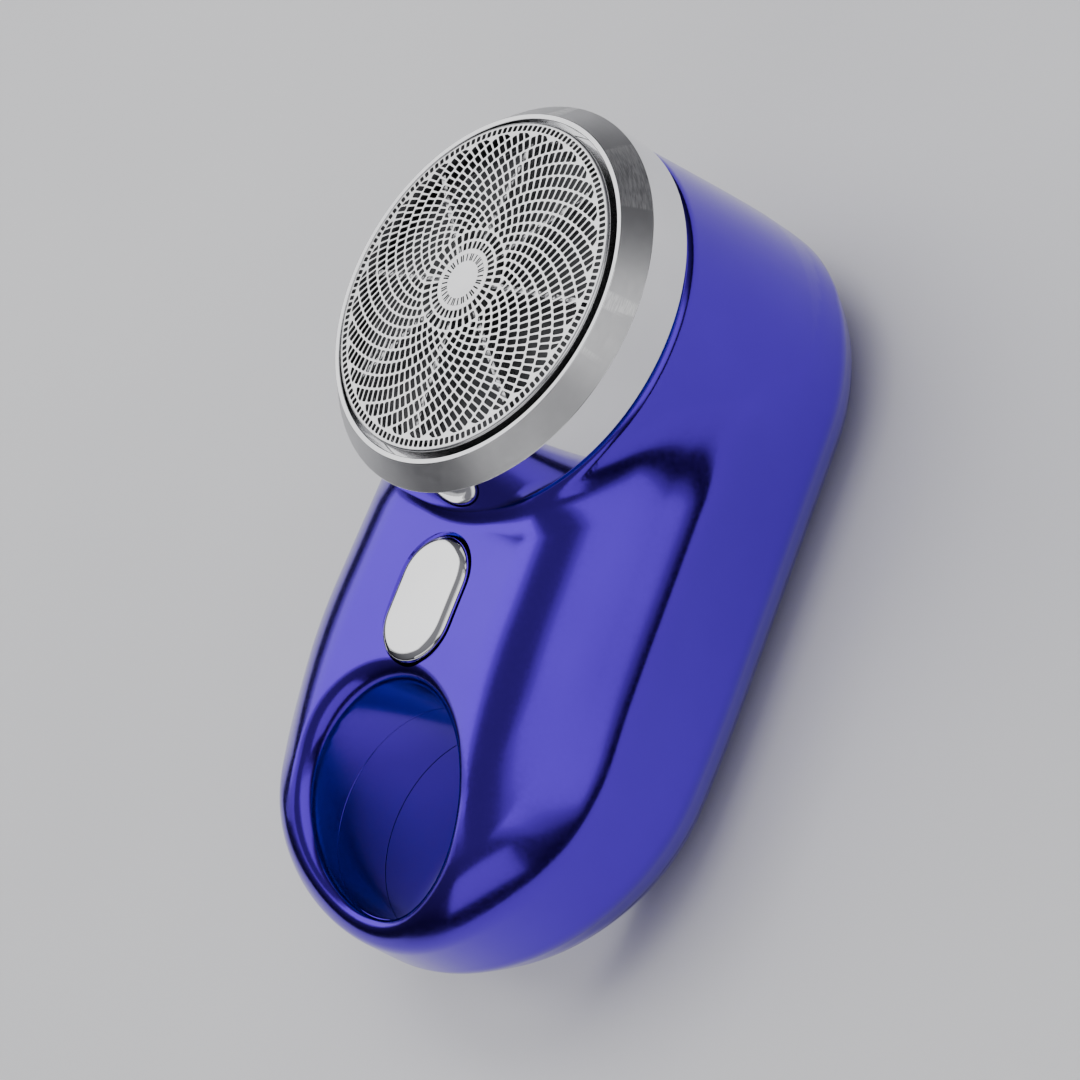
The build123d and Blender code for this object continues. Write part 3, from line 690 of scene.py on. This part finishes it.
softbox("softbox_left", (-0.72, 0.12, 0.70), 0.60, 0.54, 0.54, 0.98)
softbox("halo_left", (-0.72, 0.12, 0.70), 0.75, 0.90, 0.90, 0.52)
softbox("softbox_right", (0.72, 0.10, 0.70), 0.90, 0.82, 0.78, 0.66)
softbox("halo_right", (0.72, 0.10, 0.70), 1.05, 1.26, 1.20, 0.38)
softbox("softbox_foot", (0.25, -0.85, 0.45), 0.60, 0.60, 0.30, 0.8)
softbox("top_fill", (0.0, 0.1, 1.0), 0.9, 0.9, 0.9, 2.4, glossy=False)
world = bpy.data.worlds.new("studio")
world.use_nodes = True
sky = world.node_tree
height = node(sky, "ShaderNodeSeparateXYZ")
link(sky, node(sky, "ShaderNodeTexCoord").outputs["Generated"], height.inputs["Vector"])
link(sky, two_tone(sky, height.outputs["Z"], (0.025, 0.025, 0.03), (0.22, 0.22, 0.24), 0.2, 0.9),
     sky.nodes["Background"].inputs["Color"])
bpy.context.scene.world = world

# ---------------------------------------------------------------- CAD nodes that stay
for part in frame["record"]["subparts"]:
    cad = frame["nodes"][part["node"]]
    cad.data.materials.clear()
    cad.data.materials.append(MATERIALS[part["material_slot"]])

# ---------------------------------------------------------------- shells
skin_verts, skin_faces = skin_mesh()
front = new_object("front_shell_skin", skin_verts, skin_faces)
back = new_object("back_shell_skin", skin_verts, skin_faces)
window = stadium_outline(BUTTON_HALF_W + BUTTON_GAP, BUTTON_HALF_L + BUTTON_GAP, BUTTON_Y)
port_low, port_high = box_mm("charging_socket")
port_y, port_z = (port_low[1] + port_high[1]) / 2, (port_low[2] + port_high[2]) / 2


def port_cutter():
    """Rounded slot through the side for the charging socket, flared towards the outside."""
    end_r, end_y = 1.9, 2.9
    outline = []
    for end, start in ((1, -math.pi / 2), (-1, math.pi / 2)):
        for k in range(25):
            angle = start + math.pi * k / 24
            outline.append((end * end_y + end_r * math.cos(angle), end_r * math.sin(angle)))
    verts, count = [], len(outline)
    for x, grow in ((-26.0, 1.35), (-20.2, 1.0), (-15.0, 1.0)):
        verts += [(x, port_y + u * grow, port_z + v * grow) for u, v in outline]
    faces = [list(range(count))[::-1], [2 * count + k for k in range(count)]]
    for row in range(2):
        for k in range(count):
            m = (k + 1) % count
            a, b = row * count, (row + 1) * count
            faces.append([a + k, a + m, b + m, b + k])
    return new_object("cutter", verts, faces)


boolean(front, [
    slab_object(SPLIT + SEAM),
    prism_object(circle_outline(LINER_TUBE_R, FINGER_Y), -10.0, liner_low[2] + 0.01),
    prism_object(circle_outline(LINER_R, FINGER_Y), liner_low[2] - 1.0, liner_high[2]),
    prism_object(window, 15.0, FACET_Z + 2.0, 0.8, FACET_Z - 0.28),
    prism_object(circle_outline(DRUM_MOUTH_R, HEAD_Y), RING_BASE_Z - 4.0, RING_BASE_Z + 8.0),
    port_cutter(),
], "DIFFERENCE")
back_zone = slab_object(SPLIT - SEAM)
back_tube = prism_object(circle_outline(LINER_TUBE_R - 0.02, FINGER_Y), -20.0, liner_low[2])
boolean(back_zone, [back_tube], "UNION")
boolean(back, [back_zone], "INTERSECT")
for shell, cad_name in ((front, "front_shell"), (back, "back_shell")):
    dress(shell, "violet_plating", "housing", cad_name)
    shade_body(shell)

band_low_z, band_high_z, band_r = liner_low[2] + 0.03, liner_high[2] - 0.03, LINER_R - 0.02
liner, _, _ = lathe_piece("finger_hole_band", [
    (FINGER_R, band_low_z, 0.1), (band_r, band_low_z, 0.0),
    (band_r, band_high_z, 0.0), (FINGER_R, band_high_z, 0.1)], FINGER_Y)
dress(liner, "violet_plating", "housing", "finger_hole_liner")

# ---------------------------------------------------------------- head ring
BAND_Z = RING_BASE_Z + 4.8     # polished band below, satin bevel above
LIP_R = 17.6
RING_BORE_R, RING_MOUTH_R = 16.4, 17.1
ring, ring_points, ring_tags = lathe_piece("chrome_head_ring", [
    (RING_BORE_R, RING_BASE_Z, 0.1), (RING_R, RING_BASE_Z, 0.25), (RING_R, BAND_Z, 0.12),
    (LIP_R, RING_LIP_Z, 0.12), (RING_MOUTH_R, RING_LIP_Z, 0.1), (RING_MOUTH_R, foil_low[2], 0.0),
    (RING_BORE_R, foil_low[2], 0.0)], HEAD_Y, segments=320)
dress(ring, "ring_chrome", "head", "head_ring")
ring.data.materials.append(MATERIALS["ring_satin"])
bevel = set()
for i, (r, z) in enumerate(ring_points):
    next_r, next_z = ring_points[(i + 1) % len(ring_points)]
    if min(z, next_z) > BAND_Z - 0.01 and abs(r - next_r) > 1.0:
        bevel.add(i)
ring.data.polygons.foreach_set("material_index", [1 if t in bevel else 0 for t in ring_tags])

# ---------------------------------------------------------------- shaving foil
PATTERN_R = 16.35          # the rows of openings are given as shares of this
EDGE_R = 16.3              # the dome turns into the skirt here
FOIL_R = 16.6
FOIL_RISE = 1.3
FOIL_THICK = 0.13
RIM = 300                  # segments round the edge


def slot_shape(radius, angle, lean, length, width):
    """Corners of a rounded slot whose long side is turned by lean from the radial direction."""
    corner = min(length, width) * 0.26
    cx, cy = radius * math.cos(angle), radius * math.sin(angle)
    ux, uy = math.cos(angle + lean), math.sin(angle + lean)
    points = []
    for su, sv in ((1, 1), (-1, 1), (-1, -1), (1, -1)):
        steps = ((0, 1), (0.7071, 0.7071), (1, 0)) if su * sv < 0 else ((1, 0), (0.7071, 0.7071), (0, 1))
        for ku, kv in steps:
            u = su * (length / 2 - corner + corner * ku)
            v = sv * (width / 2 - corner + corner * kv)
            points.append((cx + u * ux - v * uy, cy + u * uy + v * ux))
    return points


def foil_slots():
    """Every opening of the foil, as lists of points round the head axis."""
    slots = []
    # radial rows: inner and outer radius as shares of the pattern, count, slot width
    for inner, outer, count, width in ((0.116, 0.162, 60, 0.17), (0.184, 0.238, 36, 0.38),
                                       (0.252, 0.308, 36, 0.56), (0.951, 0.991, 150, 0.46)):
        for k in range(count):
            angle = 2 * math.pi * (k + 0.5) / count
            slots.append(slot_shape((inner + outer) / 2 * PATTERN_R, angle, 0.0,
                                    (outer - inner) * PATTERN_R, width))
    bands, sweep = 36, math.radians(100)
    # spiral rows; the outermost are cut off along a circle inside the last radial row
    limit = 0.940 * PATTERN_R
    share, pitch = 0.338, 0.73
    while share < 0.975:
        tilt = math.atan(share * sweep)
        across = 2 * math.pi / bands * share * PATTERN_R * math.cos(tilt)
        for k in range(bands):
            angle = 2 * math.pi * (k + 0.5) / bands - sweep * (share - 0.31)
            slot = slot_shape(share * PATTERN_R, angle, math.pi / 2 - tilt, across - 0.19, 0.56)
            reaches = [math.hypot(x, y) for x, y in slot]
            if min(reaches) < limit - 0.35:
                shrinks = [min(1.0, limit / reach) for reach in reaches]
                slots.append([(x * shrink, y * shrink) for (x, y), shrink in zip(slot, shrinks)])
        share += pitch * math.cos(tilt) / PATTERN_R
    return slots


def dome_z(radius):
    """Height of the foil's outside."""
    return CROWN_Z - FOIL_RISE * (radius / FOIL_R) ** 2


def foil_mesh():
    """Perforated dome with a thin skirt and foot."""
    flat, owner, edges = [], [], []

    def loop(points, tag):
        first = len(flat)
        for p in points:
            flat.append(Vector(p))
            owner.append(tag)
        edges.extend((first + i, first + (i + 1) % len(points)) for i in range(len(points)))

    rim_angles = [2 * math.pi * k / RIM for k in range(RIM)]
    loop([(EDGE_R * math.cos(a), EDGE_R * math.sin(a)) for a in rim_angles], -1)
    for number, points in enumerate(foil_slots()):
        loop(points, number)
    for radius, count in ((0.0, 1), (0.5, 8), (1.0, 16), (1.5, 24), (2.0, 36), (3.05, 72)):
        for k in range(count):
            a = 2 * math.pi * k / count
            flat.append(Vector((radius * math.cos(a), radius * math.sin(a))))
            owner.append(-2)
    out, _, tris, source, _, _ = delaunay_2d_cdt(flat, edges, [], 0, 1e-6, True)
    tag = [set(owner[i] for i in s) for s in source]
    keep = []
    for t in tris:
        common = tag[t[0]] & tag[t[1]] & tag[t[2]]
        if any(c >= 0 for c in common):
            continue
        keep.append(list(t))
    count = len(out)
    radii = np.array([math.hypot(*p) for p in out])
    top_z = dome_z(radii)
    verts = [(p[0], p[1], z) for p, z in zip(out, top_z)]
    verts += [(p[0], p[1], z - FOIL_THICK) for p, z in zip(out, top_z)]
    faces, normals = [], []

    def dome_normal(v):
        lean = 2 * FOIL_RISE / FOIL_R ** 2
        return Vector((v[0] * lean, v[1] * lean, 1.0)).normalized()

    for t in keep:
        a, b, c = (out[i] for i in t)
        if (b - a).cross(c - a) < 0:
            t = t[::-1]
        faces.append(t)
        normals += [tuple(dome_normal(verts[i])) for i in t]
        under = [i + count for i in t[::-1]]
        faces.append(under)
        normals += [tuple(-dome_normal(verts[i])) for i in under]
    # walls of the slots
    side = {}
    for face in faces[::2]:
        for i in range(3):
            side[(face[i], face[(i + 1) % 3])] = True
    rim = {}
    for a, b in side:
        if (b, a) in side:
            continue
        if radii[a] > EDGE_R - 0.01 and radii[b] > EDGE_R - 0.01:
            rim[a] = b
            continue
        faces.append([b, a, a + count, b + count])
        run = Vector(verts[b]) - Vector(verts[a])
        out_n = Vector((run.y, -run.x, 0)).normalized()
        normals += [tuple(out_n)] * 4
    # skirt
    start = min(rim)
    order = [start]
    while rim[order[-1]] != start:
        order.append(rim[order[-1]])
    edge_z = dome_z(EDGE_R)
    steps = []
    for k in range(1, 6):
        turn = math.pi / 2 * k / 5
        steps.append((EDGE_R + (FOIL_R - EDGE_R) * math.sin(turn), edge_z - 0.3 * (1 - math.cos(turn)),
                      math.sin(turn), math.cos(turn)))
    foot_z = foil_low[2]
    inner_r = FOIL_R - 0.16
    steps += [(FOIL_R, foot_z + 0.4, 1, 0), (FOIL_FOOT_R, foot_z + 0.4, 0, 1), (FOIL_FOOT_R, foot_z, 1, 0),
              (inner_r, foot_z, 0, -1), (inner_r, edge_z - FOIL_THICK - 0.25, -1, 0)]
    rows = [order]
    row_normals = [[tuple(dome_normal(verts[i])) for i in order]]
    angles = [math.atan2(out[i][1], out[i][0]) for i in order]
    for r, z, nr, nz in steps:
        rows.append([len(verts) + k for k in range(len(order))])
        verts += [(r * math.cos(a), r * math.sin(a), z) for a in angles]
        row_normals.append([(nr * math.cos(a), nr * math.sin(a), nz) for a in angles])
    rows.append([i + count for i in order])
    total = len(order)
    for r in range(len(rows) - 1):
        for k in range(total):
            m = (k + 1) % total
            quad = [rows[r][k], rows[r + 1][k], rows[r + 1][m], rows[r][m]]
            faces.append(quad)
            # smooth down to the foot, flat from there
            if r < 6:
                upper, lower = row_normals[r], row_normals[r + 1]
                normals += [upper[k], lower[k], lower[m], upper[m]]
            else:
                p = [Vector(verts[i]) for i in quad]
                n = (p[2] - p[0]).cross(p[3] - p[1]).normalized()
                normals += [tuple(n)] * 4
    return verts, faces, normals


foil_verts, foil_faces, foil_normals = foil_mesh()
foil_verts = np.array(foil_verts) + np.array([0, HEAD_Y, 0])
foil = new_object("perforated_foil", foil_verts, foil_faces, foil_normals)
dress(foil, "foil_steel", "head", "shaving_foil")

# ---------------------------------------------------------------- power button
def button_mesh():
    """Slug with a bevelled, slightly crowned face, a neck and a stem."""
    # (inset, depth under the top)
    neck_z = BUTTON_FOOT_Z - 1.6
    profile = [(0.85, BUTTON_TOP_Z - neck_z), (0.85, BUTTON_TOP_Z - BUTTON_FOOT_Z),
               (0.08, BUTTON_TOP_Z - BUTTON_FOOT_Z), (0.0, BUTTON_TOP_Z - BUTTON_FOOT_Z - 0.1),
               (0.0, 0.75), (0.04, 0.58), (0.16, 0.46), (0.52, 0.26), (0.66, 0.20), (0.85, 0.16),
               (1.4, 0.11), (2.2, 0.05), (3.0, 0.02), (3.7, 0.005), (4.15, 0.0)]
    verts, faces = [], []
    for inset, depth in profile:
        verts += [(x, y, BUTTON_TOP_Z - depth) for x, y, _, _ in
                  stadium_outline(BUTTON_HALF_W - inset, BUTTON_HALF_L - inset, BUTTON_Y)]
    count = len(verts) // len(profile)
    faces.append(list(range(count))[::-1])
    for r in range(len(profile) - 1):
        for k in range(count):
            m = (k + 1) % count
            faces.append([r * count + k, r * count + m, (r + 1) * count + m, (r + 1) * count + k])
    faces.append([(len(profile) - 1) * count + k for k in range(count)])
    first = len(verts)
    stem = circle_outline(1.5, BUTTON_Y, 48)
    for z in (button_low[2], neck_z):
        verts += [(x, y, z) for x, y, _, _ in stem]
    n = len(stem)
    faces.append([first + k for k in range(n)][::-1])
    faces.append([first + n + k for k in range(n)])
    for k in range(n):
        m = (k + 1) % n
        faces.append([first + k, first + m, first + n + m, first + n + k])
    return verts, faces


button_verts, button_faces = button_mesh()
button = new_object("chrome_button", button_verts, button_faces)
button.data.set_sharp_from_angle(angle=math.radians(50))
dress(button, "button_chrome", "button", "power_button")
